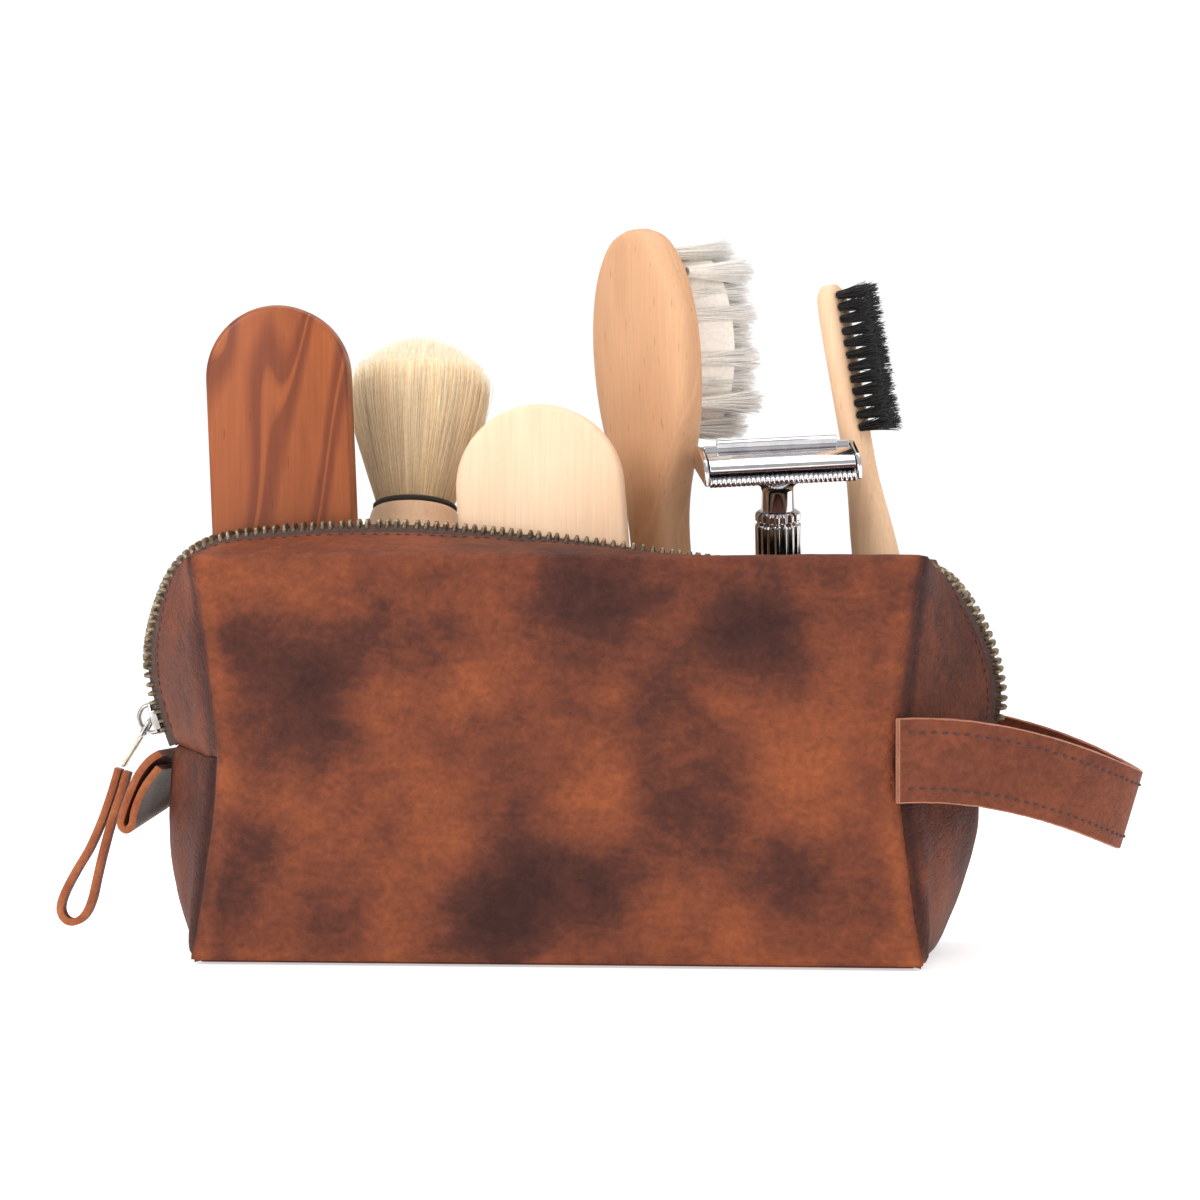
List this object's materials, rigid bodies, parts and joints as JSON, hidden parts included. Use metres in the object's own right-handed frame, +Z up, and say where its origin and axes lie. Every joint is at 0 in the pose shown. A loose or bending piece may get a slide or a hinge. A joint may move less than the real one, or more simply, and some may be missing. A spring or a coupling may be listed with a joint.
{
  "type": "shaving kit bag",
  "caption": "Boxed-corner leather wash bag, zip open, with strap handle and side tab, holding a safety razor, a shaving brush and grooming brushes that lift out",
  "frame": {"origin": "centre of the bag's base, on the plane it stands on", "axes": "+X along the bag towards the strap handle, -Y to the front panel, +Z up"},
  "size_m": [0.299, 0.113, 0.1975],
  "materials": {
    "leather": "waxed pull-up, mottled",
    "lining": "woven, matt",
    "zip_tape": "woven, matt",
    "antique_brass": "antiqued",
    "nickel": "satin nickel",
    "chrome": "polished",
    "blade_steel": "satin",
    "beech": "oiled",
    "birch": "bare, smooth",
    "stained_wood": "dark stain, lacquered",
    "ferrule": "matt",
    "cream_bristle": "natural bristle",
    "white_bristle": "goat hair",
    "black_bristle": "boar bristle",
    "paper": "crumpled tissue"
  },
  "bodies": {
    "root": {"front_panel": "leather", "back_panel": "leather", "base_panel": "leather", "front_gusset": "leather", "rear_gusset": "leather", "left_lower_end": "leather", "right_lower_end": "leather", "lining": "lining", "zip_tape_front": "zip_tape", "zip_tape_rear": "zip_tape", "zip_teeth_front": "antique_brass", "zip_teeth_rear": "antique_brass", "zip_top_stop_front": "antique_brass", "zip_top_stop_rear": "antique_brass", "zip_bottom_stop": "antique_brass", "paper_wad_left": "paper", "paper_wad_right": "paper"},
    "slider": {"slider_body": "nickel"},
    "pull_tab": {"pull_tab": "nickel"},
    "leather_pull": {"leather_pull": "leather"},
    "side_tab": {"side_tab": "leather"},
    "handle": {"handle_strap_outer": "leather", "handle_strap_inner": "leather"},
    "dark_brush": {"dark_brush_back": "stained_wood", "dark_brush_bristles": "black_bristle"},
    "light_brush": {"light_brush_back": "birch", "light_brush_bristles": "cream_bristle"},
    "shaving_brush": {"shaving_brush_handle": "beech", "shaving_brush_ferrule": "ferrule", "shaving_brush_knot": "cream_bristle"},
    "hairbrush": {"hairbrush_body": "beech", "hairbrush_bristles": "white_bristle"},
    "beard_brush": {"beard_brush_body": "beech", "beard_brush_bristles": "black_bristle"},
    "razor": {"razor_barrel": "chrome", "razor_neck": "chrome", "razor_guard_plate": "chrome", "razor_blade": "blade_steel", "razor_spine": "chrome", "razor_end_cap_left": "chrome", "razor_end_cap_right": "chrome"},
    "razor_knob": {"razor_knob": "chrome"},
    "razor_door_front": {"razor_door_front": "chrome"},
    "razor_door_rear": {"razor_door_rear": "chrome"}
  },
  "joints": [
    {"name": "slider_travel", "type": "slide", "parent": "root", "child": "slider", "axis": [-0.3129, 0, 0.9498], "range_m": [0, 0.0035]},
    {"name": "pull_tab_swing", "type": "hinge", "parent": "slider", "child": "pull_tab", "pos_m": [-0.1186, 0, 0.0622], "axis": [0, 1, 0], "range_deg": [0, 20]},
    {"name": "leather_pull_swing", "type": "hinge", "parent": "pull_tab", "child": "leather_pull", "pos_m": [-0.1261, 0, 0.0499], "axis": [0, 1, 0], "range_deg": [0, 30]},
    {"name": "side_tab_flex", "type": "hinge", "parent": "root", "child": "side_tab", "pos_m": [-0.1134, 0, 0.0525], "axis": [0, 1, 0], "range_deg": [-12, 0], "stiffness_Nm_per_rad": 0.02},
    {"name": "handle_flex", "type": "hinge", "parent": "root", "child": "handle", "pos_m": [0.094, 0, 0.054], "axis": [0, 1, 0], "range_deg": [-10, 15], "stiffness_Nm_per_rad": 0.15},
    {"name": "dark_brush_lift", "type": "slide", "parent": "root", "child": "dark_brush", "axis": [-0.0419, 0, 0.9991], "range_m": [0, 0.125]},
    {"name": "light_brush_lift", "type": "slide", "parent": "root", "child": "light_brush", "axis": [-0.0785, 0, 0.9969], "range_m": [0, 0.125]},
    {"name": "shaving_brush_lift", "type": "slide", "parent": "root", "child": "shaving_brush", "axis": [0, 0.2588, 0.9659], "range_m": [0, 0.125]},
    {"name": "hairbrush_lift", "type": "slide", "parent": "root", "child": "hairbrush", "axis": [-0.0732, 0, 0.9973], "range_m": [0, 0.125]},
    {"name": "beard_brush_lift", "type": "slide", "parent": "root", "child": "beard_brush", "axis": [-0.1685, 0, 0.9857], "range_m": [0, 0.125]},
    {"name": "razor_lift", "type": "slide", "parent": "root", "child": "razor", "axis": [0.1, -0.2575, 0.9611], "range_m": [0, 0.125]},
    {"name": "razor_knob_turn", "type": "hinge", "parent": "razor", "child": "razor_knob", "pos_m": [0.0556, 0.0124, 0.0449], "axis": [0, -0.2588, 0.9659], "range_deg": [0, 360]},
    {"name": "razor_door_front_turn", "type": "hinge", "parent": "razor", "child": "razor_door_front", "pos_m": [0.05789, -0.0216, 0.13021], "axis": [0.9781, 0.2008, 0.0538], "range_deg": [0, 75]},
    {"name": "razor_door_rear_turn", "type": "hinge", "parent": "razor", "child": "razor_door_rear", "pos_m": [0.05331, -0.00081, 0.13578], "axis": [-0.9781, -0.2008, -0.0538], "range_deg": [0, 75]}
  ],
  "couplings": [
    {"joint": "razor_door_front_turn", "follows": "razor_knob_turn", "ratio": 0.20833},
    {"joint": "razor_door_rear_turn", "follows": "razor_knob_turn", "ratio": 0.20833}
  ]
}
